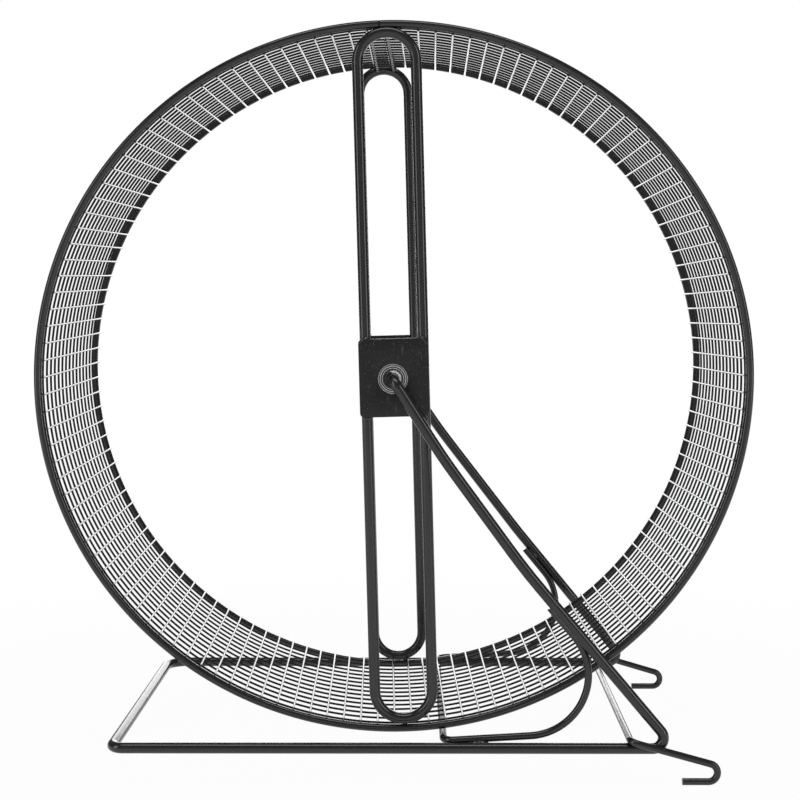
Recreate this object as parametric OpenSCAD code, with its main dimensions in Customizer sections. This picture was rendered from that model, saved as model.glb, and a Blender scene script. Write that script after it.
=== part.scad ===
// Rodent exercise wheel: a wire mesh wheel on two ball bearings, carried by a bent wire stand.
// The wheel turns about the Y axis. Z is up, and z = 0 is the plane under the rails of the stand.
// The front of the wheel faces -Y.

/* [Wheel] */
// Outside diameter of the two rims
wheel_d = 262; // [250:1:263]
// Distance between the two rims, centre to centre
track_w = 101.6; // [82.55:6.35:120.65]
// Thickness of the rim wire
rim_wire_d = 2.9; // [2.4:0.1:3.4]
// Thickness of the loop wire that carries the hub
loop_wire_d = 4; // [3.4:0.1:4]
// Outside width of the front loop
front_loop_w = 25; // [23:0.1:28]
// Outside width of the rear loop
rear_loop_w = 24; // [23:0.1:28]
// How far the front loop stands to the side of the axle
front_loop_shift = 0.8; // [-2:0.1:2]
// How far the rear loop stands to the side of the axle
rear_loop_shift = -1.3; // [-2:0.1:2]
// How far the wheel is turned about its axle as it stands
rest_turn = -1.4; // [-3:0.1:3]
// Height of the axle over the plane under the rails
axle_h = 136.5; // [136.5:0.1:150]

/* [Track mesh] */
// Spacing of the mesh wires, both ways
mesh_pitch = 6.35; // [6:0.05:12.7]
// Thickness of the mesh wire
mesh_wire_d = 0.76; // [0.5:0.02:0.9]
// How far the overlapping end of the strip is shifted along the track
lap_shift = 1.3; // [0.9:0.1:2]
// How far the hoops of the overlapping end reach past its cross wires
lap_stub = 1.1; // [0.6:0.1:2]
// Where the overlap is, turned from the top of the wheel
lap_turn = -1.2; // [-3:0.05:3]

/* [Hub] */
// Width of each hub plate
plate_w = 25; // [22:0.1:28]
// Height of each hub plate
plate_h = 28.5; // [24:0.1:36]
// Thickness of each hub plate
plate_t = 3; // [2:0.1:3.4]
// Corner radius of each hub plate
plate_corner_r = 1.6; // [0.5:0.1:3]
// How far the front hub plate stands to the side of the axle
front_plate_shift = 0.2; // [-1:0.1:1]
// How far the middle of the rear hub plate is under the axle
rear_plate_drop = 0.6; // [-2:0.1:2]
// Outside diameter of the ball bearings
bearing_d = 11; // [10.6:0.1:12]
// Width of the ball bearings
bearing_w = 4; // [3.6:0.1:4.4]
// Diameter of the bearing balls
ball_d = 2; // [1.6:0.1:2]
// Number of balls in each bearing
ball_count = 7; // [5:1:7]
// How far each bearing sits under the face of its plate
bearing_recess = 0.3; // [0:0.1:0.6]

/* [Stand] */
// Thickness of the stand wire, which is also the axle
stand_wire_d = 4; // [3.4:0.1:4.2]
// Sideways distance of the side rail from the axle
side_rail_x = 102.6; // [90:0.1:120]
// Sideways distance from the axle to the point where each arm would meet its rail
arm_foot_x = 103.4; // [100:0.1:110]
// How far the front rail is shifted to the left and the rear rail to the right
rail_skew = 0.4; // [0:0.1:2]
// Distance from the front rim to the front rail, centre to centre
front_rail_gap = 11; // [10:0.1:16]
// Distance from the rear rim to the rear rail, centre to centre
rear_rail_gap = 21; // [10:0.1:24]
// Bend radius at the front corner of the base
front_base_bend_r = 4.5; // [4:0.1:9]
// Bend radius at the rear corner of the base
rear_base_bend_r = 8.5; // [4:0.1:9]
// Bend radius where each arm meets its rail
arm_bend_r = 3.9; // [3.5:0.1:7]
// Bend radius at each axle end
axle_bend_r = 3.6; // [3:0.1:5]
// Sideways place of the upper slight bend of the front arm
front_upper_knee_x = 18.5; // [17:0.1:21]
// Sideways place of the upper slight bend of the rear arm
rear_upper_knee_x = 19.4; // [17:0.1:21]
// How far the upper slight bend of the arms is under the axle
upper_knee_drop = 28.8; // [27:0.1:30]
// Sideways place of the lower slight bend of the front arm
front_knee_x = 48; // [46:0.5:52]
// How far the lower slight bend of the front arm is under the axle
front_knee_drop = 69.2; // [67:0.1:71]
// Sideways place of the lower slight bend of the rear arm
rear_knee_x = 54.5; // [50:0.5:56]
// How far the lower slight bend of the rear arm is under the axle
rear_knee_drop = 74.4; // [71:0.1:76]
// Radius of the slight bends of the arms
knee_r = 260; // [150:10:280]
// How far each axle end reaches past the inner face of its bearing
axle_past = 1.5; // [0.5:0.1:4]

/* [Brace and hooks] */
// Thickness of the brace wire
brace_wire_d = 2.7; // [2.2:0.1:3]
// Bend radius of the brace between arm and rail
brace_bend_r = 22.4; // [14:0.1:24]
// Rise of the brace over its rail, from under the wheel to the corner of its bend
brace_rise = 4.6; // [0:0.1:5]
// Sideways place of the brace under the wheel
brace_x = 18.5; // [12:0.5:40]
// Bend radius where the brace turns under the wheel
brace_corner_r = 4; // [3:0.1:6]
// Length of brace that lies on each arm before its bend
brace_on_arm = 14; // [12:1:30]
// Angle round the front rail at which the brace lies against it, from the level
front_brace_lean = 36; // [30:1:45]
// Angle round the rear rail at which the brace lies against it, from the level
rear_brace_lean = 50; // [30:1:50]
// Thickness of the hook wire
hook_wire_d = 2.6; // [2:0.1:2.8]
// Sideways place of the hook wire on the front rail
front_hook_x = 86.3; // [76:0.1:89]
// Sideways place of the hook wire on the rear rail
rear_hook_x = 88.3; // [76:0.1:89]
// Reach of each hook past the hook wire
hook_reach = 31.4; // [28:0.1:40]
// Angle of the front hook's arm under the level
front_hook_angle = 15.5; // [12:0.5:20]
// Angle of the rear hook's arm under the level
rear_hook_angle = 16.5; // [8:0.5:20]
// Depth of each hook's bend, between its two wires
hook_depth = 5.8; // [5:0.1:7]
// Length of the returned end of each hook
hook_return = 12.7; // [9:0.1:16]
// Bend radius at the top of each hook arm
hook_corner_r = 3; // [2.5:0.1:5]

/* [Hidden] */
$fn = 64;

wire_colour = "#26262a";
plate_colour = "#222224";
steel_colour = "#9b9da0";
cage_colour = "#b08d4a";

// Gap left between two wires that lie on each other
touch = 0.02;
// Gap between a loop and the cross wires that are cut short beside it
loop_room = 0.1;
// How far a cutter reaches past the face that it cuts
cut_past = 1;
// How much thicker a wire is where it is bent
bend_growth = 0.02;
// How far a straight stretch of wire reaches into the bend beside it
bend_overlap = 0.1;
// Weld beads of the wheel, and the sideways place of those between loop and rim
bead_d = 2.4;
bead_x = 1.2;
// Butt joint of each rim: where it is, its length and how much thicker it is than the wire
butt_turn = -0.9;
butt_l = 0.9;
butt_growth = 0.5;
// Thickness and length of the weld beads of the stand
weld_d = 1.8;
weld_l = 6;
// Radial gap between bearing and plate, and between bearing and axle
seat_gap = 0.01;
// Radial gap between balls and races
ball_gap = 0.03;

// Wheel, measured from the axle outwards
rim_y = track_w / 2;
rim_r = (wheel_d - rim_wire_d) / 2;
rim_inner_r = wheel_d / 2 - rim_wire_d;
cross_r = rim_inner_r - mesh_wire_d / 2 - touch;
hoop_r = cross_r + mesh_wire_d + touch;
lap_hoop_r = cross_r - mesh_wire_d - touch;
lap_cross_r = lap_hoop_r - mesh_wire_d - touch;
hoop_count = round(track_w / mesh_pitch);
hoop_step = track_w / hoop_count;
cross_count = round(2 * PI * hoop_r / mesh_pitch);
cross_step = 360 / cross_count;
cross_l = track_w + rim_wire_d * 0.6;
lap_angle = lap_shift / cross_r * 180 / PI;
lap_stub_angle = lap_stub / cross_r * 180 / PI;
loop_half_l = rim_inner_r - loop_wire_d / 2 - touch;

// Hub, measured from the middle of the wheel outwards
plate_y = rim_y + loop_wire_d / 2 + touch + plate_t / 2;
plate_face_y = plate_y + plate_t / 2;
bearing_y = plate_face_y - bearing_recess - bearing_w / 2;
bearing_inner_y = bearing_y - bearing_w / 2;
race_bore_r = stand_wire_d / 2 + seat_gap;
bearing_r = bearing_d / 2 - seat_gap;
pitch_r = (stand_wire_d + bearing_d) / 4;
groove_r = ball_d / 2 + ball_gap;
race_land = ball_d * 0.36;
race_wall_r = pitch_r - race_land;
outer_wall_r = pitch_r + race_land;
shield_t = 0.25;
shield_inset = 0.1;
shield_gap = 0.15;
cage_t = ball_d * 0.32;
cage_w = ball_d * 1.3;

// Stand
stand_r = stand_wire_d / 2;
rail_z = stand_r;
axle_end_y = bearing_inner_y - axle_past;

// Distance between the middles of a brace and of the wire that it lies against
brace_reach = (stand_wire_d + brace_wire_d) / 2 + touch;

// The hook wire lies on top of the rails and passes in front of and behind them
hook_r = hook_wire_d / 2;
hook_z = 2 * stand_r + hook_r + touch;

function unit(v) = v / norm(v);
function reversed(v) = [for (i = [len(v) - 1 : -1 : 0]) v[i]];

// Each function below takes side = -1 for the front half of the stand and side = 1 for the rear half
function rail_y(side) = side * rim_y + (side < 0 ? -front_rail_gap : rear_rail_gap);
function knee(side) =
  side < 0
    ? [front_knee_x, rail_y(side), axle_h - front_knee_drop]
    : [rear_knee_x, rail_y(side), axle_h - rear_knee_drop];
function arm_foot(side) = [arm_foot_x + side * rail_skew, rail_y(side), rail_z];
function arm_dir(side) = unit(arm_foot(side) - knee(side));
function arm_points(side) = [
  [0, side * axle_end_y, axle_h],
  [0, rail_y(side), axle_h],
  [side < 0 ? front_upper_knee_x : rear_upper_knee_x, rail_y(side), axle_h - upper_knee_drop],
  knee(side),
  arm_foot(side),
  [-side_rail_x + side * rail_skew, rail_y(side), rail_z]
];

// The brace lies partly behind and partly beside each arm, and partly behind and above each rail
function brace_lean(side) = side < 0 ? front_brace_lean : rear_brace_lean;
function brace_behind(side) = [0, -side * brace_reach * cos(brace_lean(side)), 0];
function brace_up(side) = brace_reach * sin(brace_lean(side));
// The square direction from each arm towards its brace
function arm_side(side) = let (d = arm_dir(side)) [d[2], 0, -d[0]];
function brace_shift(side) = brace_behind(side) + arm_side(side) * brace_up(side);
function brace_corner(side) =
  [brace_x, rail_y(side), rail_z + brace_up(side)] + brace_behind(side);
function brace_foot(side) =
  let (p = knee(side) + brace_shift(side), d = arm_dir(side))
  p + d * (p[2] - brace_corner(side)[2] - brace_rise) / -d[2];
function brace_tangent(side) =
  let (run = unit(brace_corner(side) - brace_foot(side)))
  brace_bend_r * tan(acos(arm_dir(side) * run) / 2);
function brace_top(side) =
  brace_foot(side) - arm_dir(side) * (brace_tangent(side) + brace_on_arm);
function brace_points(side) = [brace_top(side), brace_foot(side), brace_corner(side)];

function hook_x(side) = side < 0 ? front_hook_x : rear_hook_x;
function hook_angle(side) = side < 0 ? front_hook_angle : rear_hook_angle;
function hook_bend_r(side) = hook_depth / (1 + tan((90 - hook_angle(side)) / 2)) - touch;
function hook_points(side) =
  let (
    top = [hook_x(side), rail_y(side) + side * (stand_r + hook_r + touch), hook_z],
    out = top + [hook_reach, 0, -hook_reach * tan(hook_angle(side))],
    low = out - [0, 0, hook_depth]
  )
  [low - [hook_return, 0, 0], low, out, top];

// Length taken off each straight at corner i of a bent wire
function corner_cut(p, r, i) =
  let (a = unit(p[i] - p[i - 1]), b = unit(p[i + 1] - p[i]))
  r[i] * tan(acos(a * b) / 2);

// Places what follows with its x and z axes along two square directions
module along(at, x_dir, z_dir) {
  y_dir = cross(z_dir, x_dir);
  multmatrix([
    [x_dir[0], y_dir[0], z_dir[0], at[0]],
    [x_dir[1], y_dir[1], z_dir[1], at[1]],
    [x_dir[2], y_dir[2], z_dir[2], at[2]],
    [0, 0, 0, 1]
  ]) children();
}

// A straight round rod from p to q
module rod(p, q, d) {
  z_dir = unit(q - p);
  side = abs(z_dir[2]) > 0.9 ? [1, 0, 0] : [0, 0, 1];
  x_dir = unit(cross(side, z_dir));
  along(p, x_dir, z_dir) cylinder(d = d, h = norm(q - p));
}

// A wire of thickness d through the points p, with the bend radius r[i] at point i.
// The wire is a hair thicker where it is bent, and each straight reaches a little into its bends.
module bent_wire(p, r, d) {
  last = len(p) - 1;
  for (i = [0 : last - 1]) {
    dir = unit(p[i + 1] - p[i]);
    start = i == 0 ? p[0] : p[i] + dir * (corner_cut(p, r, i) - bend_overlap);
    end = i == last - 1 ? p[last] : p[i + 1] - dir * (corner_cut(p, r, i + 1) - bend_overlap);
    rod(start, end, d);
  }
  for (i = [1 : last - 1]) {
    a = unit(p[i] - p[i - 1]);
    b = unit(p[i + 1] - p[i]);
    inward = unit(b - a * (a * b));
    start = p[i] - a * corner_cut(p, r, i);
    along(start + inward * r[i], -inward, cross(-inward, a))
      rotate_extrude(angle = acos(a * b)) translate([r[i], 0]) circle(d = d + bend_growth);
  }
}

// Turns what follows from lying along Z to lying along Y, on the wheel's axis
module on_axle(y) {
  translate([0, y, axle_h]) rotate([-90, 0, 0]) children();
}

// Places what follows in the wheel's own turned frame, with its centre at the origin
module on_wheel() {
  translate([0, 0, axle_h]) rotate([0, rest_turn, 0]) children();
}

module ring(r, wire_d) {
  rotate([90, 0, 0]) rotate_extrude($fn = 128) translate([r, 0]) circle(d = wire_d);
}

// Stand, each wire from its front end round to its rear end
module stand_frame() {
  bends = [0, axle_bend_r, knee_r, knee_r, arm_bend_r];
  color(wire_colour)
    bent_wire(
      concat(arm_points(-1), reversed(arm_points(1))),
      concat(bends, [front_base_bend_r, rear_base_bend_r], reversed(bends)),
      stand_wire_d
    );
}

module brace_wire() {
  bends = [0, brace_bend_r, brace_corner_r];
  color(wire_colour)
    bent_wire(
      concat(brace_points(-1), reversed(brace_points(1))),
      concat(bends, reversed(bends)),
      brace_wire_d
    );
}

module hook_wire() {
  front = hook_bend_r(-1);
  rear = hook_bend_r(1);
  color(wire_colour)
    bent_wire(
      concat(hook_points(-1), reversed(hook_points(1))),
      [0, front, front, hook_corner_r, hook_corner_r, rear, rear, 0],
      hook_wire_d
    );
}

// Beads in the grooves between the wires of the stand
module stand_welds() {
  color(wire_colour)
    for (side = [-1, 1]) {
      on_arm = brace_top(side) - brace_shift(side) / 2;
      along_arm = arm_dir(side) * weld_l;
      rod(on_arm + along_arm * 0.3, on_arm + along_arm * 1.3, weld_d);
      on_rail = brace_corner(side) - brace_behind(side) * 0.7 + [brace_corner_r + weld_l, 0, 0];
      rod(on_rail, on_rail + [weld_l, 0, 0], weld_d);
      on_hook = [hook_x(side) + hook_r * 0.8, rail_y(side), 2 * stand_r];
      rod(on_hook - [0, stand_r / 2, 0], on_hook + [0, stand_r / 2, 0], weld_d);
    }
}

// Wheel
module rim(side) {
  color(wire_colour) on_wheel() translate([0, side * rim_y, 0]) ring(rim_r, rim_wire_d);
}

module track_hoops() {
  color(wire_colour) on_wheel()
    for (i = [0 : hoop_count - 1])
      translate([0, -rim_y + (i + 0.5) * hoop_step, 0]) ring(hoop_r, mesh_wire_d);
}

// How far a cross wire reaches from the middle of the wheel: it stops short of a loop in its way
function cross_end(angle, r, side) =
  let (
    x = r * sin(angle) - loop_shift(side),
    z = r * abs(cos(angle)) - loop_leg(side),
    room = (loop_wire_d + mesh_wire_d) / 2 + loop_room
  )
  abs(norm([x, z]) - loop_mid_r(side)) < room ? rim_y - loop_wire_d / 2 - loop_room : cross_l / 2;

module cross_wire(angle, r) {
  front = cross_end(angle, r, -1);
  rear = cross_end(angle, r, 1);
  rotate([0, angle, 0]) translate([0, rear, r]) rotate([90, 0, 0])
    cylinder(d = mesh_wire_d, h = front + rear, $fn = 16);
}

module track_cross_wires() {
  color(wire_colour) on_wheel()
    for (i = [0 : cross_count - 1]) cross_wire(lap_turn + (i + 0.5) * cross_step, cross_r);
}

// The overlapping end of the strip, one cell long, inside the first layer
module track_lap() {
  start = lap_turn + lap_angle - cross_step / 2;
  hoop_start = start - lap_stub_angle;
  hoop_sweep = cross_step + 2 * lap_stub_angle;
  color(wire_colour) on_wheel() {
    for (i = [0, 1]) cross_wire(start + i * cross_step, lap_cross_r);
    for (i = [0 : hoop_count - 1])
      translate([0, -rim_y + (i + 0.5) * hoop_step, 0])
        rotate([90, 0, 0]) rotate([0, 0, 90 - hoop_start - hoop_sweep])
          rotate_extrude(angle = hoop_sweep) translate([lap_hoop_r, 0])
            circle(d = mesh_wire_d, $fn = 16);
  }
}

function loop_mid_r(side) = ((side < 0 ? front_loop_w : rear_loop_w) - loop_wire_d) / 2;
function loop_leg(side) = loop_half_l - loop_mid_r(side);
function loop_shift(side) = side < 0 ? front_loop_shift : rear_loop_shift;

module loop(side) {
  mid_r = loop_mid_r(side);
  leg = loop_leg(side);
  color(wire_colour) on_wheel() translate([loop_shift(side), side * rim_y, 0]) {
    for (x = [-mid_r, mid_r]) translate([x, 0, 0])
      cylinder(d = loop_wire_d, h = 2 * leg, center = true);
    for (end = [0, 1]) mirror([0, 0, end]) translate([0, 0, leg]) rotate([90, 0, 0])
      rotate_extrude(angle = 180) translate([mid_r, 0]) circle(d = loop_wire_d);
  }
}

function plate_shift(side) = side < 0 ? [front_plate_shift, 0] : [0, -rear_plate_drop];

module hub_plate(side) {
  color(plate_colour) on_wheel() translate([0, side * plate_y, 0]) rotate([90, 0, 0])
    difference() {
      linear_extrude(plate_t, center = true) translate(plate_shift(side)) rounded_plate();
      cylinder(d = bearing_d, h = plate_t + 2 * cut_past, center = true);
    }
}

module rounded_plate() {
  square([plate_w, plate_h - 2 * plate_corner_r], center = true);
  square([plate_w - 2 * plate_corner_r, plate_h], center = true);
  for (x = [-1, 1], y = [-1, 1])
    translate([x * (plate_w / 2 - plate_corner_r), y * (plate_h / 2 - plate_corner_r)])
      circle(plate_corner_r);
}

// Beads that hold loops to rims and plates to loops, and the butt joint of each rim
module wheel_welds() {
  bead_z = rim_inner_r - bead_d * 0.2;
  color(wire_colour) on_wheel()
    for (side = [-1, 1]) translate([0, side * rim_y, 0]) {
      for (up = [1, -1]) translate([bead_x, 0, up * bead_z]) sphere(d = bead_d);
      for (x = [-loop_mid_r(side), loop_mid_r(side)], up = [1, -1])
        translate([
          x + loop_shift(side),
          side * loop_wire_d / 2,
          plate_shift(side)[1] + up * plate_h / 2
        ]) sphere(d = bead_d);
      rotate([0, butt_turn, 0]) translate([0, 0, rim_r]) rotate([0, 90, 0])
        cylinder(d = rim_wire_d + butt_growth, h = butt_l, center = true);
    }
}

// Bearings, drawn along Z with the outer face up
module race(inner, outer) {
  rotate_extrude($fn = 96) difference() {
    translate([inner, -bearing_w / 2]) square([outer - inner, bearing_w]);
    translate([pitch_r, 0]) circle(r = groove_r);
  }
}

module inner_race(side) {
  color(steel_colour) on_axle(side * bearing_y) race(race_bore_r, race_wall_r);
}

module outer_race(side) {
  color(steel_colour) on_axle(side * bearing_y) race(outer_wall_r, bearing_r);
}

module bearing_shields(side) {
  shield_inner_r = race_wall_r + shield_gap;
  shield_z = bearing_w / 2 - shield_inset - shield_t;
  color(steel_colour) on_axle(side * bearing_y)
    for (face = [0, 1]) mirror([0, 0, face]) translate([0, 0, shield_z]) difference() {
      cylinder(r = outer_wall_r - touch, h = shield_t);
      translate([0, 0, -cut_past]) cylinder(r = shield_inner_r, h = shield_t + 2 * cut_past);
    }
}

module balls(side) {
  color(steel_colour) on_axle(side * bearing_y)
    for (i = [0 : ball_count - 1]) rotate([0, 0, i * 360 / ball_count])
      translate([pitch_r, 0, 0]) sphere(d = ball_d);
}

module ball_cage(side) {
  color(cage_colour) on_axle(side * bearing_y) difference() {
    rotate_extrude() translate([pitch_r - cage_t / 2, -cage_w / 2]) square([cage_t, cage_w]);
    for (i = [0 : ball_count - 1]) rotate([0, 90, i * 360 / ball_count])
      cylinder(r = groove_r, h = 2 * pitch_r);
  }
}

stand_frame();
brace_wire();
hook_wire();
stand_welds();
inner_race(-1);  // front_inner_race
inner_race(1);  // rear_inner_race
rim(-1);  // front_rim
rim(1);  // rear_rim
track_hoops();
track_cross_wires();
track_lap();
loop(-1);  // front_loop
loop(1);  // rear_loop
hub_plate(-1);  // front_hub_plate
hub_plate(1);  // rear_hub_plate
wheel_welds();
outer_race(-1);  // front_outer_race
outer_race(1);  // rear_outer_race
bearing_shields(-1);  // front_bearing_shields
bearing_shields(1);  // rear_bearing_shields
ball_cage(-1);  // front_ball_cage
balls(-1);  // front_balls
ball_cage(1);  // rear_ball_cage
balls(1);  // rear_balls
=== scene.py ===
import math

import bmesh
import bpy
from mathutils import Matrix, Vector, noise


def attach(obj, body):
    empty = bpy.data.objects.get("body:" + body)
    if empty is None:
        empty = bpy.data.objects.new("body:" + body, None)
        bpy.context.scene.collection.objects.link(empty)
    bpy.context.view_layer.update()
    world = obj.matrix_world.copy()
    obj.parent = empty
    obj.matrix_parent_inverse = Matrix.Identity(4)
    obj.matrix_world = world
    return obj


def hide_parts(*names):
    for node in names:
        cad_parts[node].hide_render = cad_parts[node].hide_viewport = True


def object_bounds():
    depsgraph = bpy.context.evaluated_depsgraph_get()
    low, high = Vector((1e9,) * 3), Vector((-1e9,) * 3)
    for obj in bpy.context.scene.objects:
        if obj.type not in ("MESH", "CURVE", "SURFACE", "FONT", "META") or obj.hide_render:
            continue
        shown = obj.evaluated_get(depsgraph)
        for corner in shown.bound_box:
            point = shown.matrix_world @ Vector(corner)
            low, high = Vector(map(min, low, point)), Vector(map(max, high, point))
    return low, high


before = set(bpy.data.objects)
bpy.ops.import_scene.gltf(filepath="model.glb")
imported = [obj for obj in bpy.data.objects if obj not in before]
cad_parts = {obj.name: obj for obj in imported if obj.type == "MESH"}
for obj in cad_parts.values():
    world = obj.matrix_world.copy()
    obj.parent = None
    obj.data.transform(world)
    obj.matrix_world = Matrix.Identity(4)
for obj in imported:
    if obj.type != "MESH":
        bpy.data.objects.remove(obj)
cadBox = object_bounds()
mm = 0.001
hub = Vector((0, 0, 136.5)) * mm    # middle of the wheel's axis
print("frame loaded")


# sRGB hex to the linear colour that the sockets take
def toLinear(hexColour):
    parts = [int(hexColour[i:i + 2], 16) / 255 for i in (1, 3, 5)]
    return [c / 12.92 if c <= 0.04045 else ((c + 0.055) / 1.055) ** 2.4 for c in parts] + [1]


# Adds one node, with its settings by input or property name and its links by input name
def addNode(tree, kind, settings=None, links=None):
    node = tree.nodes.new(kind)
    for key, value in (settings or {}).items():
        if isinstance(key, int) or key in node.inputs:
            node.inputs[key].default_value = value
        else:
            setattr(node, key, value)
    for key, socket in (links or {}).items():
        tree.links.new(socket, node.inputs[key])
    return node


def newMaterial(name):
    material = bpy.data.materials.new(name)
    material.use_nodes = True
    material.node_tree.nodes.clear()
    return material, material.node_tree


def finishMaterial(tree, shader):
    addNode(tree, "ShaderNodeOutputMaterial", links={"Surface": shader.outputs[0]})


# Black enamel: a thick glossy paint, dipped or sprayed. The eye sees a near-black
# body under sharp, slightly wavy highlights, with a few grains of dust in it.
wireEnamel = {
    "colour": "#17171a",
    "roughness": 0.24,
    "waveMm": 2.2,     # orange peel, drawn coarser than it is so that it shows
    "waveHeight": 0.000013,
    "waveStrength": 0.5,
    "waveNoise": (0.3, 0.7),         # the noise stays within these
    "glossSpread": (-0.04, 0.06),    # roughness in and between waves
    "speckMm": 0.5,
    "speckNoise": (0.74, 0.80),      # where a speck starts and is full
    "speckColour": "#6d6d6d",
    "specular": 0.7,
    "coat": 0.5,
    "coatRoughness": 0.07,
}


def makeEnamel(name, look):
    material, tree = newMaterial(name)
    place = addNode(tree, "ShaderNodeTexCoord").outputs["Object"]
    wave = addNode(tree, "ShaderNodeTexNoise",
                   {"Scale": 1 / (look["waveMm"] * mm), "Detail": 2.0},
                   {"Vector": place})
    bump = addNode(tree, "ShaderNodeBump",
                   {"Strength": look["waveStrength"], "Distance": look["waveHeight"]},
                   {"Height": wave.outputs["Fac"]})
    speck = addNode(tree, "ShaderNodeTexNoise",
                    {"Scale": 1 / (look["speckMm"] * mm), "Detail": 1.0},
                    {"Vector": place})
    spots = addNode(tree, "ShaderNodeMapRange",
                    {"From Min": look["speckNoise"][0], "From Max": look["speckNoise"][1]},
                    {"Value": speck.outputs["Fac"]})
    colour = addNode(tree, "ShaderNodeMix",
                     {"data_type": "RGBA", 6: toLinear(look["colour"]),
                      7: toLinear(look["speckColour"])},
                     {0: spots.outputs["Result"]})
    rough = addNode(tree, "ShaderNodeMapRange",
                    {"From Min": look["waveNoise"][0], "From Max": look["waveNoise"][1],
                     "To Min": look["roughness"] + look["glossSpread"][0],
                     "To Max": look["roughness"] + look["glossSpread"][1]},
                    {"Value": wave.outputs["Fac"]})
    shader = addNode(tree, "ShaderNodeBsdfPrincipled",
                     {"IOR": 1.5, "Specular IOR Level": look["specular"],
                      "Coat Weight": look["coat"], "Coat Roughness": look["coatRoughness"]},
                     {"Base Color": colour.outputs[2], "Roughness": rough.outputs["Result"],
                      "Normal": bump.outputs["Normal"]})
    finishMaterial(tree, shader)
    return material


wireEnamelMaterial = makeEnamel("glossBlackWireEnamel", wireEnamel)
# The same paint, thinner on the mesh: its cross wires catch the lamps as bright lines,
# and its hoops, dusty and turned away from them, stay a dull black
meshEnamelMaterial = makeEnamel("thinBlackMeshEnamel", dict(wireEnamel, colour="#0c0c0d",
                                                            specular=1.0, coat=0.6))
hoopEnamelMaterial = makeEnamel("dullBlackHoopEnamel", dict(wireEnamel, colour="#161618",
                                                            speckColour="#3a3a3a",
                                                            roughness=0.42, specular=0.4,
                                                            coat=0.0))


# Enamel on flat sheet: duller and handled more. Fine pale scratches and rubbed spots break up the
# black, and a thin pale line inside each corner is a painted highlight along its rounded edge.
plateEnamel = {
    # The sheet's black is drawn lighter than the wires': painted light, standing in for more light
    # on its face
    "colour": "#1f1f20",
    "wornAndHighlight": "#8c8c8e",
    "roughness": 0.36,
    "wornAndHighlightRoughness": 0.2,    # added where it is worn and on the painted corner highlight
    "scratchMm": 1.1,
    "scratchTurn": 34,       # degrees from upright
    "scratchStretch": 0.16,
    "scratchNoise": (0.62, 0.74),
    "scratchStrength": 0.7,
    "scratchBump": 0.3,
    "scratchDepth": 0.00002,
    "spotMm": 0.35,
    "spotNoise": (0.7, 0.76),
    # The painted corner highlight: a thin pale line at this distance,
    "cornerHighlightMm": 25.2,         # sideways plus upwards from the hub
    "cornerHighlightWidthMm": 0.16,
}


def makePlateEnamel(name, look):
    material, tree = newMaterial(name)
    place = addNode(tree, "ShaderNodeTexCoord").outputs["Object"]
    slanted = addNode(tree, "ShaderNodeMapping",
                      {"Rotation": (0, math.radians(look["scratchTurn"]), 0),
                       "Scale": (1, 1, look["scratchStretch"])},
                      {"Vector": place})
    scratch = addNode(tree, "ShaderNodeTexNoise",
                      {"Scale": 1 / (look["scratchMm"] * mm), "Detail": 4.0, "Roughness": 0.7},
                      {"Vector": slanted.outputs["Vector"]})
    spot = addNode(tree, "ShaderNodeTexNoise",
                   {"Scale": 1 / (look["spotMm"] * mm), "Detail": 1.0},
                   {"Vector": place})
    scratches = addNode(tree, "ShaderNodeMapRange",
                        {"From Min": look["scratchNoise"][0], "From Max": look["scratchNoise"][1],
                         "To Max": look["scratchStrength"]},
                        {"Value": scratch.outputs["Fac"]})
    spots = addNode(tree, "ShaderNodeMapRange",
                    {"From Min": look["spotNoise"][0], "From Max": look["spotNoise"][1]},
                    {"Value": spot.outputs["Fac"]})
    # Painted highlight: a thin pale line inside each corner, faint where the scratch noise is low
    fromHub = addNode(tree, "ShaderNodeVectorMath", {"operation": "SUBTRACT", 1: hub}, {0: place})
    apart = addNode(tree, "ShaderNodeVectorMath", {"operation": "ABSOLUTE"},
                    {0: fromHub.outputs["Vector"]})
    summed = addNode(tree, "ShaderNodeVectorMath", {"operation": "DOT_PRODUCT",
                                                    1: Vector((1, 0, 1))},
                     {0: apart.outputs["Vector"]})
    cornerHighlight = addNode(tree, "ShaderNodeMath", {"operation": "COMPARE", 1: look["cornerHighlightMm"] * mm,
                                             2: look["cornerHighlightWidthMm"] * mm},
                    {0: summed.outputs["Value"]})
    faintCornerHighlight = addNode(tree, "ShaderNodeMath", {"operation": "MULTIPLY"},
                    {0: cornerHighlight.outputs[0], 1: scratch.outputs["Fac"]})
    marks = addNode(tree, "ShaderNodeMath", {"operation": "MAXIMUM"},
                    {0: scratches.outputs["Result"], 1: spots.outputs["Result"]})
    wearAndHighlight = addNode(tree, "ShaderNodeMath", {"operation": "MAXIMUM"},
                   {0: marks.outputs[0], 1: faintCornerHighlight.outputs[0]})
    colour = addNode(tree, "ShaderNodeMix",
                     {"data_type": "RGBA", 6: toLinear(look["colour"]), 7: toLinear(look["wornAndHighlight"])},
                     {0: wearAndHighlight.outputs[0]})
    rough = addNode(tree, "ShaderNodeMapRange",
                    {"To Min": look["roughness"],
                     "To Max": look["roughness"] + look["wornAndHighlightRoughness"]},
                    {"Value": wearAndHighlight.outputs[0]})
    bump = addNode(tree, "ShaderNodeBump",
                   {"Strength": look["scratchBump"], "Distance": look["scratchDepth"]},
                   {"Height": scratch.outputs["Fac"]})
    shader = addNode(tree, "ShaderNodeBsdfPrincipled", {"IOR": 1.5},
                     {"Base Color": colour.outputs[2], "Roughness": rough.outputs["Result"],
                      "Normal": bump.outputs["Normal"]})
    finishMaterial(tree, shader)
    return material


plateEnamelMaterial = makePlateEnamel("blackPlateEnamel", plateEnamel)


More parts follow.
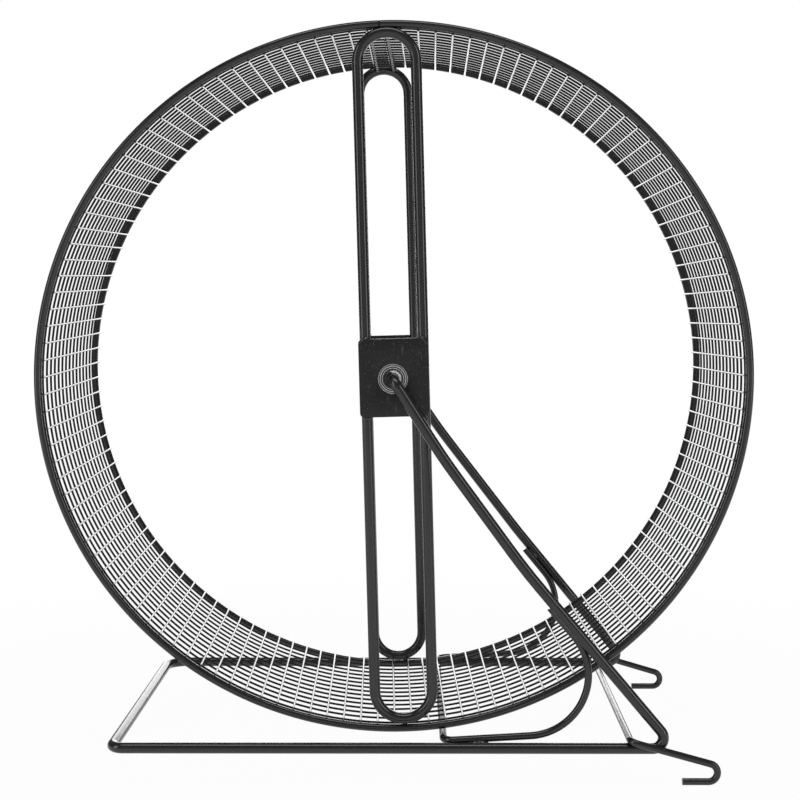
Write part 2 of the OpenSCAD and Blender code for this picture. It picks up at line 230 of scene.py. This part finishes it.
# Metals of the bearings, ground or pressed, with a fine grain
bearingMetals = {
    "grainMm": 0.3,
    "grainSpread": 0.05,     # of the roughness, either way
    # Near-white, hardly metallic steel: painted highlights on the bearings' edge rings and the
    # lap's spot welds, and the balls
    "paleSteelAndHighlight": {"colour": "#f8f8f8", "roughness": 0.4, "metallic": 0.1},
    # The outer race: an even mid grey, darker than bright bearing steel
    "midGreyRaceSteel": {"colour": "#737477", "roughness": 0.4, "metallic": 1.0},
    # The shield, pressed from sheet: a darker grey
    "darkShieldSteel": {"colour": "#626366", "roughness": 0.42, "metallic": 1.0},
    # The ball cage, pressed from brass sheet: a warm dull yellow behind the shields
    "pressedBrassCage": {"colour": "#c8a45c", "roughness": 0.35, "metallic": 1.0},
}


def makeBearingMetal(name):
    look = bearingMetals[name]
    material, tree = newMaterial(name)
    place = addNode(tree, "ShaderNodeTexCoord").outputs["Object"]
    grain = addNode(tree, "ShaderNodeTexNoise",
                    {"Scale": 1 / (bearingMetals["grainMm"] * mm), "Detail": 3.0},
                    {"Vector": place})
    rough = addNode(tree, "ShaderNodeMapRange",
                    {"To Min": look["roughness"] - bearingMetals["grainSpread"],
                     "To Max": look["roughness"] + bearingMetals["grainSpread"]},
                    {"Value": grain.outputs["Fac"]})
    shader = addNode(tree, "ShaderNodeBsdfPrincipled",
                     {"Base Color": toLinear(look["colour"]), "Metallic": look["metallic"]},
                     {"Roughness": rough.outputs["Result"]})
    finishMaterial(tree, shader)
    return material


paleSteelAndHighlightMaterial = makeBearingMetal("paleSteelAndHighlight")
darkSteelMaterial = makeBearingMetal("midGreyRaceSteel")
sealMaterial = makeBearingMetal("darkShieldSteel")
brassMaterial = makeBearingMetal("pressedBrassCage")


# The inner race: a painted highlight on its upper right, near-white and hardly metallic, which the
# eye sees as a light crescent, and dark grey everywhere else
racePaintedHighlight = {
    "darkRest": "#3c3c3e",
    "highlightWhite": "#ffffff",
    "darkRestRoughness": 0.42,
    "highlightWhiteRoughness": 0.4,
    "highlightWhiteMetallic": 0.1,
    # Direction from the axis of the painted highlight, towards the lamps above and at the right
    "towards": (0.78, 0, 0.62),
    "startMm": (0.9, 1.1),      # from the axis, along the direction above
    "raggedMm": 0.9,
    "raggedReach": 1.2,
}


def makeRacePaintedHighlight(name, look):
    material, tree = newMaterial(name)
    place = addNode(tree, "ShaderNodeTexCoord").outputs["Object"]
    fromHub = addNode(tree, "ShaderNodeVectorMath", {"operation": "SUBTRACT", 1: hub}, {0: place})
    towards = addNode(tree, "ShaderNodeVectorMath",
                      {"operation": "DOT_PRODUCT", 1: Vector(look["towards"])},
                      {0: fromHub.outputs["Vector"]})
    ragged = addNode(tree, "ShaderNodeTexNoise", {"Scale": 1 / (look["raggedMm"] * mm)},
                     {"Vector": place})
    reach = look["raggedReach"] * mm
    edge = addNode(tree, "ShaderNodeMath",
                   {"operation": "MULTIPLY_ADD", 1: reach, 2: -reach / 2},
                   {0: ragged.outputs["Fac"]})
    shifted = addNode(tree, "ShaderNodeMath", {"operation": "ADD"},
                      {0: towards.outputs["Value"], 1: edge.outputs[0]})
    # Share of painted highlight: full beyond a ragged line on the upper right
    highlightWhite = addNode(tree, "ShaderNodeMapRange",
                   {"From Min": look["startMm"][0] * mm, "From Max": look["startMm"][1] * mm},
                   {"Value": shifted.outputs[0]})
    colour = addNode(tree, "ShaderNodeMix",
                     {"data_type": "RGBA", 6: toLinear(look["darkRest"]),
                      7: toLinear(look["highlightWhite"])},
                     {0: highlightWhite.outputs["Result"]})
    rough = addNode(tree, "ShaderNodeMapRange",
                    {"To Min": look["darkRestRoughness"], "To Max": look["highlightWhiteRoughness"]},
                    {"Value": highlightWhite.outputs["Result"]})
    metallic = addNode(tree, "ShaderNodeMath",
                       {"operation": "MULTIPLY", 1: look["highlightWhiteMetallic"]},
                       {0: highlightWhite.outputs["Result"]})
    shader = addNode(tree, "ShaderNodeBsdfPrincipled", None,
                     {"Base Color": colour.outputs[2], "Metallic": metallic.outputs[0],
                      "Roughness": rough.outputs["Result"]})
    finishMaterial(tree, shader)
    return material


racePaintedHighlightMaterial = makeRacePaintedHighlight("rubbedInnerRace", racePaintedHighlight)

# The CAD nodes are enamelled wire, but for these
nodeFinishes = {
    "_race": paleSteelAndHighlightMaterial,
    "_balls": paleSteelAndHighlightMaterial,
    "_plate": plateEnamelMaterial,
    "_shields": sealMaterial,
    "_ball_cage": brassMaterial,
}
for name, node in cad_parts.items():
    material = wireEnamelMaterial
    for ending, finish in nodeFinishes.items():
        if name.endswith(ending):
            material = finish
    for slot in node.material_slots:
        slot.material = material
print("materials on the CAD nodes")

# The wheel, in mm from the middle of its axis. The real one is not quite round:
# its loops pull the rims in, and it hangs a little low on its bearings.
wheel = {
    "rimY": 50.8,
    "rimRadius": 129.55,
    "rimWire": 1.45,
    "rimSides": 20,
    "rimSteps": 288,
    "restTurn": -1.5,                   # degrees about the axis
    "frontStretch": (1.0061, 0.9956),   # sideways, upwards
    "rearStretch": (1.003, 0.999),
    "frontShift": (0.2, -1.09),
    "rearShift": (0.07, -0.7),
    "jointTurn": -0.8,                  # the butt joint of each rim
    "jointGap": 0.02,
    "jointChamfer": 0.42,
    "jointFlash": (0.2, 1.6, 1.62),     # half sizes of the burr round the joint
    "jointLump": (1.9, 1.1, 0.9),       # half sizes of the weld under the joint
    "lumpTurn": 0.0,
    "lumpRadius": 127.9,
    "lumpWave": 0.0012,                 # share of its distance from the axis
    "lumpWaveMm": 0.8,
}


def aboutAxis(degrees):
    return Matrix.Rotation(math.radians(degrees), 4, "Y")


# A place on a circle about the axis, some degrees round from the top
def onCircle(turn, y, radius):
    return aboutAxis(turn) @ Matrix.Translation((0, y, radius))


# The wheel's stretch or shift, some share of the way from its front to its rear
def alongWheel(what, share):
    front, rear = wheel["front" + what], wheel["rear" + what]
    return [a + (b - a) * share for a, b in zip(front, rear)]


# Turns the wheel's mesh as it stands, and gives it the slight oval of the real one
def settleOnAxle(bm, oval=True):
    turn = aboutAxis(wheel["restTurn"])
    for vert in bm.verts:
        place = turn @ vert.co
        if oval:
            share = min(max(0.5 + place.y / (2 * wheel["rimY"]), 0), 1)
            stretch, shift = alongWheel("Stretch", share), alongWheel("Shift", share)
            place.x *= stretch[0]
            place.z *= stretch[1]
            place.x += shift[0]
            place.z += shift[1]
        vert.co = place * mm + hub


# Makes the piece, smooth but for edges sharper than some degrees, and says what it is
def finishPiece(name, bm, material, body, sharpFrom=50):
    bm.normal_update()    # turning the faces outwards starts from these
    bmesh.ops.recalc_face_normals(bm, faces=bm.faces)
    for face in bm.faces:
        face.smooth = True
    for edge in bm.edges:
        edge.smooth = edge.calc_face_angle(0) < math.radians(sharpFrom)
    data = bpy.data.meshes.new(name)
    bm.to_mesh(data)
    bm.free()
    data.materials.append(material)
    piece = bpy.data.objects.new(name, data)
    bpy.context.collection.objects.link(piece)
    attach(piece, body)
    return piece


# The vertices or the edges among what a bmesh operator gives
def pick(items, kind):
    return [item for item in items if isinstance(item, kind)]


# The edges at some vertices, each once and in the same order every run
def edgesAt(verts):
    return list(dict.fromkeys(edge for vert in verts for edge in vert.link_edges))


# A straight round wire from one point to another
def addRod(bm, start, end, radius, sides=10):
    start, end = Vector(start), Vector(end)
    facing = (end - start).to_track_quat("Z", "Y").to_matrix().to_4x4()
    bmesh.ops.create_cone(bm, cap_ends=True, segments=sides, radius1=radius, radius2=radius,
                          depth=(end - start).length,
                          matrix=Matrix.Translation((start + end) / 2) @ facing)


# The ring of edges that a wire starts from, facing along the wheel's rim
def addWireRing(bm, radius, wire, y, turn, sides):
    ring = bmesh.ops.create_circle(bm, cap_ends=False, segments=sides, radius=wire,
                                   matrix=onCircle(turn, y, radius) @ aboutAxis(90))
    return ring["verts"], edgesAt(ring["verts"])


# A whole hoop of wire about the wheel's axis
def addHoop(bm, radius, wire, y, sides, steps):
    verts, edges = addWireRing(bm, radius, wire, y, 0, sides)
    bmesh.ops.spin(bm, geom=verts + edges, cent=(0, 0, 0), axis=(0, 1, 0),
                   angle=math.radians(360), steps=steps, use_merge=True)


# An open arc of wire about the wheel's axis, with its cut ends closed and broken
def addArc(bm, radius, wire, y, turn, sweep, sides, steps, broken):
    verts, edges = addWireRing(bm, radius, wire, y, turn, sides)
    spun = bmesh.ops.spin(bm, geom=verts + edges, cent=(0, 0, 0), axis=(0, 1, 0),
                          angle=math.radians(sweep), steps=steps, use_merge=False)
    for loop in (edges, pick(spun["geom_last"], bmesh.types.BMEdge)):
        bmesh.ops.edgeloop_fill(bm, edges=loop)
        bmesh.ops.bevel(bm, geom=loop, affect="EDGES", offset=broken, segments=2, profile=0.5,
                        material=-1)


# Rims: one wire each, bent round and butt-welded near the top
gap = math.degrees(wheel["jointGap"] / wheel["rimRadius"])
for side, name in ((-1, "front_rim"), (1, "rear_rim")):
    bm = bmesh.new()
    addArc(bm, wheel["rimRadius"], wheel["rimWire"], side * wheel["rimY"],
           wheel["jointTurn"] + gap / 2, 360 - gap, wheel["rimSides"], wheel["rimSteps"],
           wheel["jointChamfer"])
    settleOnAxle(bm)
    piece = finishPiece(name.replace("_", ".") + ".wire", bm, wireEnamelMaterial, "wheel")
    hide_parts(name)

# The run of weld under each butt joint
bm = bmesh.new()
for side in (-1, 1):
    place = onCircle(wheel["lumpTurn"], side * wheel["rimY"], wheel["lumpRadius"])
    lump = bmesh.ops.create_icosphere(bm, subdivisions=4, radius=1,
                                      matrix=place @ Matrix.Diagonal((*wheel["jointLump"], 1)))
    for vert in lump["verts"]:
        vert.co *= 1 + wheel["lumpWave"] * noise.noise(vert.co / wheel["lumpWaveMm"])
settleOnAxle(bm)
finishPiece("rim.joint.beads", bm, wireEnamelMaterial, "wheel")

# The thin burr that the butt weld pushed out all round
bm = bmesh.new()
for side in (-1, 1):
    place = onCircle(wheel["jointTurn"], side * wheel["rimY"], wheel["rimRadius"])
    bmesh.ops.create_icosphere(bm, subdivisions=4, radius=1,
                               matrix=place @ Matrix.Diagonal((*wheel["jointFlash"], 1)))
settleOnAxle(bm)
finishPiece("rim.joint.flash", bm, hoopEnamelMaterial, "wheel")
print("rims")

# Track: welded mesh of quarter-inch squares, its hoops outside its cross wires
track = {
    "wire": 0.38,
    "wireSides": 8,
    "hoopWire": 0.42,
    "crossCount": 127,
    "crossRadius": 127.7,
    "hoopRadius": 128.48,
    "hoopSteps": 252,
    "hoopCount": 16,
    "pitch": 6.35,
    "crossReach": 50.2,
    "shortReach": 48.7,     # of a cross wire that meets a loop
    "loopRoom": 0.1,        # between such a wire and the loop
    "turn": -1.2,
    "skew": (0.9, 0.4),     # degrees from front to rear, either side of the lap
    "nugget": (0.56, 0.48, 0.38),    # half sizes of a spot weld
    "lapShift": 1.3,
    "lapStub": 1.1,
    "lapSteps": 6,
    "lapCutEdge": 0.06,
    "lapWeldRise": 0.14,
    "lapCrossRadius": 126.6,
    "lapHoopRadius": 127.44,
}
loops = {
    "wire": 2.0,
    "sides": 24,
    "bendSteps": 32,
    "halfLength": 125.98,
    "frontMiddle": 10.55,
    "rearMiddle": 10.3,
    "frontShift": 0.6,
    "rearShift": -1.75,
    "frontTopRise": 0.7,    # the upper end is welded on a little over the rim
    "rearTopRise": 1.2,
    "closeWithin": 0.01,    # joins the last ring of the wire to its first
}
hoopYs = [(i + 0.5) * track["pitch"] - wheel["rimY"] for i in range(track["hoopCount"])]


# How far a cross wire reaches at one side, short of a loop in its way
def crossReach(turn, radius, side):
    middle = loops["frontMiddle"] if side < 0 else loops["rearMiddle"]
    shift = loops["frontShift"] if side < 0 else loops["rearShift"]
    across = radius * math.sin(math.radians(turn)) - shift
    up = radius * abs(math.cos(math.radians(turn))) - (loops["halfLength"] - middle)
    room = loops["wire"] + track["wire"] + track["loopRoom"]
    near = abs(math.hypot(across, up) - middle) < room
    return track["shortReach"] if near else track["crossReach"]


def addCrossWire(bm, turn, radius):
    place = aboutAxis(turn) @ Vector((0, 0, radius))
    addRod(bm, place - Vector((0, crossReach(turn, radius, -1), 0)),
           place + Vector((0, crossReach(turn, radius, 1), 0)), track["wire"])


# The strip was rolled a little askew, so that its cross wires lean
def skewTrack(bm):
    near, far = track["skew"]
    for vert in bm.verts:
        turned = math.degrees(math.atan2(vert.co.x, vert.co.z)) - track["turn"]
        lean = near + (far - near) * (turned % 360) / 360
        vert.co = aboutAxis(lean / 2 * vert.co.y / wheel["rimY"]) @ vert.co


# Fused spots where the wires of the mesh cross
def addNuggets(bm, turn, radius):
    flat = Matrix.Diagonal((*track["nugget"], 1))
    for y in hoopYs:
        bmesh.ops.create_icosphere(bm, subdivisions=1, radius=1,
                                   matrix=onCircle(turn, y, radius) @ flat)


bm = bmesh.new()
addHoop(bm, track["hoopRadius"], track["hoopWire"], hoopYs[0], track["wireSides"],
        track["hoopSteps"])
hoop = bm.verts[:] + bm.edges[:] + bm.faces[:]
for y in hoopYs[1:]:
    copied = bmesh.ops.duplicate(bm, geom=hoop)["geom"]
    bmesh.ops.translate(bm, vec=(0, y - hoopYs[0], 0), verts=pick(copied, bmesh.types.BMVert))
settleOnAxle(bm)
piece = finishPiece("track.hoops", bm, hoopEnamelMaterial, "wheel")
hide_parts("track_hoops")

step = 360 / track["crossCount"]
bm = bmesh.new()
for i in range(track["crossCount"]):
    addCrossWire(bm, track["turn"] + (i + 0.5) * step, track["crossRadius"])
skewTrack(bm)
settleOnAxle(bm)
piece = finishPiece("track.crossWires", bm, meshEnamelMaterial, "wheel")
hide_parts("track_cross_wires")

bm = bmesh.new()
addNuggets(bm, track["turn"] + 0.5 * step, track["crossRadius"] + track["wire"])
bmesh.ops.spin(bm, geom=bm.verts[:] + bm.edges[:] + bm.faces[:], cent=(0, 0, 0), axis=(0, 1, 0),
               angle=math.radians(360 - step), steps=track["crossCount"] - 1, use_duplicate=True)
skewTrack(bm)
settleOnAxle(bm)
finishPiece("track.spotWelds", bm, meshEnamelMaterial, "wheel")

# The lap, where one end of the strip lies under the other
bm = bmesh.new()
shift = math.degrees(track["lapShift"] / track["crossRadius"])
stub = math.degrees(track["lapStub"] / track["crossRadius"])
start = track["turn"] + shift - step / 2
for turn in (start, start + step):
    addCrossWire(bm, turn, track["lapCrossRadius"])
for y in hoopYs:
    addArc(bm, track["lapHoopRadius"], track["wire"], y, start - stub, step + 2 * stub,
           track["wireSides"], track["lapSteps"], track["lapCutEdge"])
skewTrack(bm)
settleOnAxle(bm)
piece = finishPiece("track.lap", bm, hoopEnamelMaterial, "wheel")
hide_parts("track_lap")

# The spot welds on the lap, in near-white steel: painted highlights seen as bright dots
bm = bmesh.new()
for turn in (start, start + step):
    addNuggets(bm, turn, track["lapCrossRadius"] - track["lapWeldRise"])
skewTrack(bm)
settleOnAxle(bm)
finishPiece("track.lapWeldHighlights", bm, paleSteelAndHighlightMaterial, "wheel")
print("track mesh")


# Loops: a long closed loop of wire across each rim
def makeLoop(name, side, middle, shift, topRise):
    leg = loops["halfLength"] - middle
    top = leg + topRise
    bm = bmesh.new()
    ring = bmesh.ops.create_circle(bm, cap_ends=False, segments=loops["sides"],
                                   radius=loops["wire"],
                                   matrix=Matrix.Translation((-middle, 0, 0)))
    edges = edgesAt(ring["verts"])
    # Up one leg and round the top, down the other and round the foot, and up to close
    for move, bend in ((top, top), (-top - leg, -leg), (leg, None)):
        out = bmesh.ops.extrude_edge_only(bm, edges=edges)["geom"]
        verts = pick(out, bmesh.types.BMVert)
        edges = pick(out, bmesh.types.BMEdge)
        bmesh.ops.translate(bm, vec=(0, 0, move), verts=verts)
        if bend is not None:
            spun = bmesh.ops.spin(bm, geom=verts + edges, cent=(0, 0, bend), axis=(0, 1, 0),
                                  angle=math.radians(180), steps=loops["bendSteps"],
                                  use_merge=False)
            edges = pick(spun["geom_last"], bmesh.types.BMEdge)
    bmesh.ops.remove_doubles(bm, verts=bm.verts, dist=loops["closeWithin"])
    bmesh.ops.translate(bm, vec=(shift, side * wheel["rimY"], 0), verts=bm.verts)
    settleOnAxle(bm)
    piece = finishPiece(name.replace("_", ".") + ".wire", bm, wireEnamelMaterial, "wheel")
    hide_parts(name)


makeLoop("front_loop", -1, loops["frontMiddle"], loops["frontShift"], loops["frontTopRise"])
makeLoop("rear_loop", 1, loops["rearMiddle"], loops["rearShift"], loops["rearTopRise"])
print("loops")

# Hub plates: sheared from strip, their corners rounded, with a hole for the bearing
plates = {
    "width": 25.3,
    "height": 28.5,
    "thickness": 3.0,
    "corner": 1.6,
    "cornerSteps": 8,
    "y": 54.32,
    "hole": 5.5,
    "holeSteps": 64,
    "edge": 0.3,
    "edgeSteps": 3,
    "frontShift": (0.35, 0.4),
    "rearShift": (0.0, -1.0),
}


def makePlate(name, side, shift):
    bm = bmesh.new()
    bmesh.ops.create_grid(bm, x_segments=1, y_segments=1, size=0.5)
    bmesh.ops.scale(bm, vec=(plates["width"], plates["height"], 1), verts=bm.verts)
    bmesh.ops.bevel(bm, geom=bm.verts, affect="VERTICES", offset=plates["corner"],
                    segments=plates["cornerSteps"], profile=0.5, material=-1)
    bmesh.ops.translate(bm, vec=(*shift, 0), verts=bm.verts)
    bmesh.ops.delete(bm, geom=bm.faces, context="FACES_ONLY")
    bmesh.ops.create_circle(bm, cap_ends=False, segments=plates["holeSteps"],
                            radius=plates["hole"])
    bmesh.ops.bridge_loops(bm, edges=bm.edges)
    out = bmesh.ops.extrude_face_region(bm, geom=bm.faces)["geom"]
    bmesh.ops.translate(bm, vec=(0, 0, plates["thickness"]), verts=pick(out, bmesh.types.BMVert))
    bmesh.ops.recalc_face_normals(bm, faces=bm.faces)
    sharp = [edge for edge in bm.edges if edge.calc_face_angle(0) > 1]
    bmesh.ops.bevel(bm, geom=sharp, affect="EDGES", offset=plates["edge"],
                    segments=plates["edgeSteps"], profile=0.5, material=-1)
    bmesh.ops.translate(bm, vec=(0, 0, -plates["thickness"] / 2), verts=bm.verts)
    bmesh.ops.rotate(bm, matrix=Matrix.Rotation(math.radians(90), 3, "X"), verts=bm.verts)
    bmesh.ops.translate(bm, vec=(0, side * plates["y"], 0), verts=bm.verts)
    settleOnAxle(bm, oval=False)
    piece = finishPiece(name.replace("_", ".") + ".sheet", bm, plateEnamelMaterial, "wheel",
                        20)
    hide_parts(name)


makePlate("front_hub_plate", -1, plates["frontShift"])
makePlate("rear_hub_plate", 1, plates["rearShift"])
print("hub plates")

# Bearings: profiles as (radius, height towards the outer face), spun about the axis
bearing = {
    "y": 53.52,
    "steps": 96,
    "outerRace": [(4.47, 0.74), (4.47, 1.9), (4.57, 2.0), (5.27, 2.0), (5.49, 1.78),
                  (5.49, -1.78), (5.27, -2.0), (4.57, -2.0), (4.47, -1.9), (4.47, -0.74),
                  (4.66, -0.48), (4.78, 0.0), (4.66, 0.48)],
    "innerRace": [(3.03, 0.74), (3.03, 1.88), (2.95, 1.95), (2.86, 1.96), (2.8, 2.13),
                  (2.7, 2.28), (2.55, 2.37), (2.4, 2.38), (2.24, 2.3), (2.1, 2.16),
                  (2.01, 1.98), (2.01, -1.75), (2.3, -2.0), (2.9, -2.0), (3.03, -1.88),
                  (3.03, -0.74), (2.84, -0.48), (2.72, 0.0), (2.84, 0.48)],
    # Thin raised rings at the edges, drawn near-white: painted highlights along those edges
    "rings": [[(5.2, 1.9), (5.24, 2.03), (5.34, 2.08), (5.44, 2.02), (5.48, 1.88)],
              [(4.45, 1.88), (4.5, 2.03), (4.62, 2.08), (4.74, 2.04), (4.8, 1.95)],
              [(3.75, 1.72), (3.79, 1.88), (3.9, 1.94), (4.01, 1.88), (4.05, 1.72)]],
    "seal": [(3.2, 1.68), (3.2, 1.82), (3.36, 1.92), (3.6, 1.9), (3.72, 1.76), (3.86, 1.76),
             (4.0, 1.9), (4.2, 1.93), (4.38, 1.86), (4.44, 1.72), (4.44, 1.65), (3.9, 1.6)],
}


def addSpun(bm, profile, flip=1):
    verts = [bm.verts.new((radius, 0, height * flip)) for radius, height in profile]
    edges = [bm.edges.new((verts[i - 1], verts[i])) for i in range(len(verts))]
    bmesh.ops.spin(bm, geom=verts + edges, cent=(0, 0, 0), axis=(0, 0, 1),
                   angle=math.radians(360), steps=bearing["steps"], use_merge=True)


def makeBearingPiece(name, side, profiles, material, body):
    bm = bmesh.new()
    for profile, flip in profiles:
        addSpun(bm, profile, flip)
    bmesh.ops.rotate(bm, matrix=Matrix.Rotation(math.radians(-90 * side), 3, "X"), verts=bm.verts)
    bmesh.ops.translate(bm, vec=(0, side * bearing["y"], 0), verts=bm.verts)
    bmesh.ops.scale(bm, vec=(mm, mm, mm), verts=bm.verts)
    bmesh.ops.translate(bm, vec=hub, verts=bm.verts)
    return finishPiece(name.replace("_", ".") + ".turned", bm, material, body, 20)


for side, end in ((-1, "front_"), (1, "rear_")):
    # The thin rings in near-white steel: painted highlights
    makeBearingPiece(end + "edge_rings", side, [(ring, 1) for ring in bearing["rings"]],
                     paleSteelAndHighlightMaterial, "wheel")
    piece = makeBearingPiece(end + "outer_race", side, [(bearing["outerRace"], 1)],
                             darkSteelMaterial, "wheel")
    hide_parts(end + "outer_race")
    piece = makeBearingPiece(end + "inner_race", side, [(bearing["innerRace"], 1)],
                             racePaintedHighlightMaterial, "stand")
    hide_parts(end + "inner_race")
    piece = makeBearingPiece(end + "bearing_shields", side,
                             [(bearing["seal"], 1), (bearing["seal"], -1)], sealMaterial,
                             "wheel")
    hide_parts(end + "bearing_shields")
print("bearings")


# Weld beads: lumps of run metal under the paint, in place of the plain ones. The plain
# sleeves on the rim joints have few vertices and get none: the burr stands for them.
beads = {
    "lump": 0.18,           # share of the bead's radius
    "lumpMm": 0.9,
    "spread": 1.05,         # larger than the plain bead
    "fewest": 200,
    "mergeWithin": 1e-7,
}


# The points of each separate bead of a CAD node
def findBeads(name):
    source = bmesh.new()
    source.from_mesh(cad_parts[name].data)
    bmesh.ops.remove_doubles(source, verts=source.verts, dist=beads["mergeWithin"])
    islands = []
    found = set()
    for first in source.verts:
        if first in found:
            continue
        found.add(first)
        island, growing = [], [first]
        while growing:
            vert = growing.pop()
            island.append(vert.co.copy())
            for edge in vert.link_edges:
                other = edge.other_vert(vert)
                if other not in found:
                    found.add(other)
                    growing.append(other)
        islands.append(island)
    source.free()
    return islands


def makeBeads(name, body):
    bm = bmesh.new()
    for island in findBeads(name):
        if name == "wheel_welds" and len(island) < beads["fewest"]:
            continue
        centre = sum(island, Vector()) / len(island)
        farthest = max(island, key=lambda co: (co - centre).length)
        facing = (farthest - centre).to_track_quat("Z", "Y").to_matrix()
        local = [facing.transposed() @ (co - centre) for co in island]
        half = [max(abs(co[i]) for co in local) * beads["spread"] for i in range(3)]
        blob = bmesh.ops.create_icosphere(bm, subdivisions=4, radius=1)["verts"]
        for vert in blob:
            place = facing @ Vector([vert.co[i] * half[i] for i in range(3)]) + centre
            lump = 1 + beads["lump"] * noise.noise(place / (beads["lumpMm"] * mm))
            vert.co = centre + (place - centre) * lump
    piece = finishPiece(name.replace("_", ".") + ".beads", bm, wireEnamelMaterial, body)
    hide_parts(name)


makeBeads("wheel_welds", "wheel")
makeBeads("stand_welds", "stand")
print("weld beads")

# Camera, at the photograph's place: straight on, a little above the hub
cameraFacts = {
    "place": Vector((4.9, -613.6, 29.3)) * mm + hub,
    "pitchDown": 3.79,
    "turnLeft": 0.24,
    "focalPixels": 1539.6,
    "framePixels": 800,
    "sensorMm": 36.0,
    "clipStart": 0.05,
}
cameraData = bpy.data.cameras.new("camera")
cameraData.sensor_width = cameraFacts["sensorMm"]
cameraData.lens = (cameraFacts["focalPixels"] / cameraFacts["framePixels"]
                   * cameraFacts["sensorMm"])
cameraData.clip_start = cameraFacts["clipStart"]
camera = bpy.data.objects.new("camera", cameraData)
camera.location = cameraFacts["place"]
camera.rotation_euler = (math.radians(90 - cameraFacts["pitchDown"]), 0,
                         math.radians(cameraFacts["turnLeft"]))
bpy.context.collection.objects.link(camera)
bpy.context.scene.camera = camera

# Studio: softboxes at the back, both sides and above, and a weak fill in front, in a
# dim room. Places and sizes, width by height, are in metres.
studio = {
    "roomGrey": 0.14,
    "lamps": {
        "backSoftbox": {"places": [(0, 2.2, 0.6)], "aim": hub,
                        "size": (1.5, 1.5), "radiance": 2.4},
        "sideSoftbox": {"places": [(-1.35, -0.85, 0.55), (1.35, -0.85, 0.55)], "aim": hub,
                        "size": (0.55, 1.3), "radiance": 1.9},
        "topSoftbox": {"places": [(0, -0.45, 1.7)], "aim": hub,
                       "size": (1.3, 0.5), "radiance": 2.6},
        "frontFill": {"places": [(0, -2.2, 0.62)], "aim": (0, 0, 0.62),
                      "size": (2.4, 1.2), "radiance": 0.16},
    },
}


def addSoftbox(name, place, facts):
    width, height = facts["size"]
    data = bpy.data.lights.new(name, "AREA")
    data.shape = "RECTANGLE"
    data.size = width
    data.size_y = height
    data.energy = facts["radiance"] * math.pi * width * height
    lamp = bpy.data.objects.new(name, data)
    lamp.location = place
    towards = Vector(facts["aim"]) - Vector(place)
    lamp.rotation_euler = towards.to_track_quat("-Z", "Y").to_euler()
    lamp.visible_camera = False
    bpy.context.collection.objects.link(lamp)


for name, facts in studio["lamps"].items():
    for place in facts["places"]:
        addSoftbox(name, place, facts)

world = bpy.data.worlds.new("studioRoom")
world.use_nodes = True
bpy.context.scene.world = world
tree = world.node_tree
tree.nodes.clear()
rays = addNode(tree, "ShaderNodeLightPath")
room = addNode(tree, "ShaderNodeBackground",
               {"Color": (1, 1, 1, 1), "Strength": studio["roomGrey"]})
white = addNode(tree, "ShaderNodeBackground", {"Color": (1, 1, 1, 1), "Strength": 1.0})
seen = addNode(tree, "ShaderNodeMixShader", links={0: rays.outputs["Is Camera Ray"],
                                                   1: room.outputs[0], 2: white.outputs[0]})
addNode(tree, "ShaderNodeOutputWorld", links={"Surface": seen.outputs[0]})

# Floor: white board, bright to the camera, that keeps a faint shadow near the object
floorFacts = {
    "colour": "#f4f4f4",
    "size": 8.0,           # in metres, like the lengths below
    "gap": 0.0002,         # below the object
    "lit": 0.03,           # share of real light and shadow near the object
    "shadowFrom": 0.15,
    "shadowTo": 0.45,
    "reflected": 0.4,      # share of its glow that the paint mirrors
}
floorMesh = bmesh.new()
bmesh.ops.create_grid(floorMesh, x_segments=1, y_segments=1, size=floorFacts["size"] / 2)
bmesh.ops.translate(floorMesh, vec=(0, 0, cadBox[0].z - floorFacts["gap"]),
                    verts=floorMesh.verts)
floorData = bpy.data.meshes.new("floor")
floorMesh.to_mesh(floorData)
floorMesh.free()
floor = bpy.data.objects.new("floor", floorData)
bpy.context.collection.objects.link(floor)
material, tree = newMaterial("whiteBoard")
rays = addNode(tree, "ShaderNodeLightPath")
place = addNode(tree, "ShaderNodeTexCoord").outputs["Object"]
distance = addNode(tree, "ShaderNodeVectorMath", {"operation": "LENGTH"}, {0: place})
fade = addNode(tree, "ShaderNodeMapRange",
               {"From Min": floorFacts["shadowFrom"], "From Max": floorFacts["shadowTo"],
                "To Min": 1 - floorFacts["lit"], "To Max": 1.0, "interpolation_type": "SMOOTHSTEP"},
               {"Value": distance.outputs["Value"]})
board = addNode(tree, "ShaderNodeBsdfDiffuse", {"Color": toLinear(floorFacts["colour"])})
glow = addNode(tree, "ShaderNodeEmission", {"Color": (1, 1, 1, 1), "Strength": 1.0})
seenBy = addNode(tree, "ShaderNodeMath", {"operation": "MULTIPLY_ADD",
                                          1: floorFacts["reflected"]},
                 {0: rays.outputs["Is Glossy Ray"], 2: rays.outputs["Is Camera Ray"]})
share = addNode(tree, "ShaderNodeMath", {"operation": "MULTIPLY"},
                {0: seenBy.outputs[0], 1: fade.outputs["Result"]})
mixed = addNode(tree, "ShaderNodeMixShader", links={0: share.outputs[0], 1: board.outputs[0],
                                                    2: glow.outputs[0]})
finishMaterial(tree, mixed)
floorData.materials.append(material)
bpy.context.scene.view_settings.view_transform = "Standard"
print("studio built")
